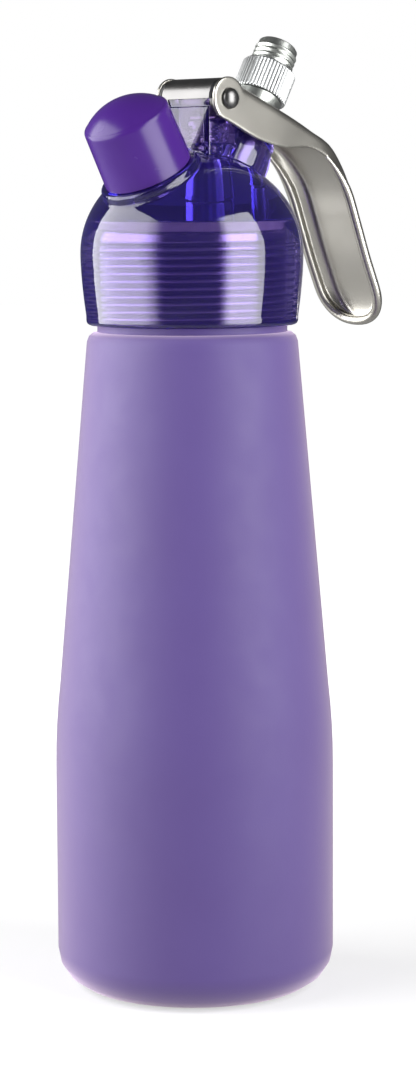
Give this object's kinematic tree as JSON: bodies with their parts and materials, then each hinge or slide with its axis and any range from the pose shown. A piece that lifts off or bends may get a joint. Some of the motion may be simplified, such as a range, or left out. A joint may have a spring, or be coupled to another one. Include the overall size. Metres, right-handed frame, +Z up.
{
  "type": "whipped cream dispenser",
  "caption": "Whipped cream dispenser: purple coated aluminium bottle, translucent blue-violet screw head, steel squeeze lever, capped nozzle and threaded gas inlet",
  "frame": {"origin": "centre of the bottle's base, on the plane it stands on", "axes": "+Z up along the bottle; -X toward the capped nozzle; +X toward the gas inlet and the lever's handle; the lever's rivet lies along Y"},
  "size_m": [0.1126, 0.08, 0.2725],
  "materials": {
    "purple_coat": "soft matte lilac-purple coat on aluminium",
    "tinted_clear": "clear deep blue-violet moulding, glossy",
    "purple_plastic": "glossy deep purple moulding",
    "satin_steel": "warm grey satin sheet steel with a polished rolled edge",
    "bright_steel": "polished stainless steel",
    "steel": "turned stainless steel",
    "knurled_aluminium": "bright knurled aluminium",
    "natural_plastic": "natural translucent white moulding",
    "white_seal": "off-white silicone",
    "black_rubber": "black rubber"
  },
  "bodies": {
    "bottle_body": {"bottle": "purple_coat"},
    "gasket_body": {"head_gasket": "white_seal"},
    "head_body": {"head_shell": "tinted_clear", "valve_guide": "natural_plastic", "guide_gasket": "black_rubber", "valve_spring": "steel", "pin_saddle": "bright_steel", "outlet_fitting": "steel", "outlet_o_ring": "black_rubber"},
    "stem_body": {"valve_stem": "steel", "stem_o_ring_upper": "black_rubber", "stem_o_ring_lower": "black_rubber", "valve_seal": "black_rubber", "seal_washer": "steel", "stem_nut": "steel"},
    "lever_body": {"lever": "satin_steel", "lever_rivet": "bright_steel", "pivot_washer_left": "natural_plastic", "pivot_washer_right": "natural_plastic"},
    "tip_washer_body": {"tip_washer": "white_seal"},
    "tip_body": {"decorating_tip": "purple_plastic"},
    "cap_body": {"cap": "purple_plastic"},
    "inlet_seal_body": {"inlet_seal": "black_rubber"},
    "inlet_body": {"inlet_stud": "steel", "knurled_collar": "knurled_aluminium", "charger_seal": "black_rubber", "piercing_pin": "steel", "check_valve": "black_rubber"}
  },
  "joints": [
    {"name": "head_lift", "type": "slide", "parent": "bottle_body", "child": "gasket_body", "axis": [0, 0, 1], "range_m": [0, 0.0189]},
    {"name": "head_turn", "type": "hinge", "parent": "gasket_body", "child": "head_body", "pos_m": [0, 0, 0.2182], "axis": [0, 0, 1], "range_deg": [0, 3240]},
    {"name": "lever_squeeze", "type": "hinge", "parent": "head_body", "child": "lever_body", "pos_m": [0.0034, 0, 0.254], "axis": [0, 1, 0], "range_deg": [0, 18], "stiffness_Nm_per_rad": 1.2},
    {"name": "valve_press", "type": "slide", "parent": "head_body", "child": "stem_body", "axis": [0, 0, -1], "range_m": [0, 0.002], "deforming": ["valve_spring"]},
    {"name": "tip_lift", "type": "slide", "parent": "head_body", "child": "tip_washer_body", "axis": [-0.5, 0, 0.866], "range_m": [0, 0.006]},
    {"name": "tip_turn", "type": "hinge", "parent": "tip_washer_body", "child": "tip_body", "pos_m": [-0.01807, 0, 0.23573], "axis": [-0.5, 0, 0.866], "range_deg": [0, 1080]},
    {"name": "cap_pull", "type": "slide", "parent": "tip_body", "child": "cap_body", "axis": [-0.5, 0, 0.866], "range_m": [0, 0.026]},
    {"name": "inlet_lift", "type": "slide", "parent": "head_body", "child": "inlet_seal_body", "axis": [0.5, 0, 0.866], "range_m": [0, 0.012]},
    {"name": "inlet_turn", "type": "hinge", "parent": "inlet_seal_body", "child": "inlet_body", "pos_m": [0.0217, 0, 0.24541], "axis": [0.5, 0, 0.866], "range_deg": [0, 2880]}
  ],
  "couplings": [
    {"joint": "head_lift", "follows": "head_turn", "m_per_rad": 0.00033423},
    {"joint": "valve_press", "follows": "lever_squeeze", "m_per_rad": 0.0063662},
    {"joint": "tip_lift", "follows": "tip_turn", "m_per_rad": 0.00031831},
    {"joint": "inlet_lift", "follows": "inlet_turn", "m_per_rad": 0.00023873}
  ]
}
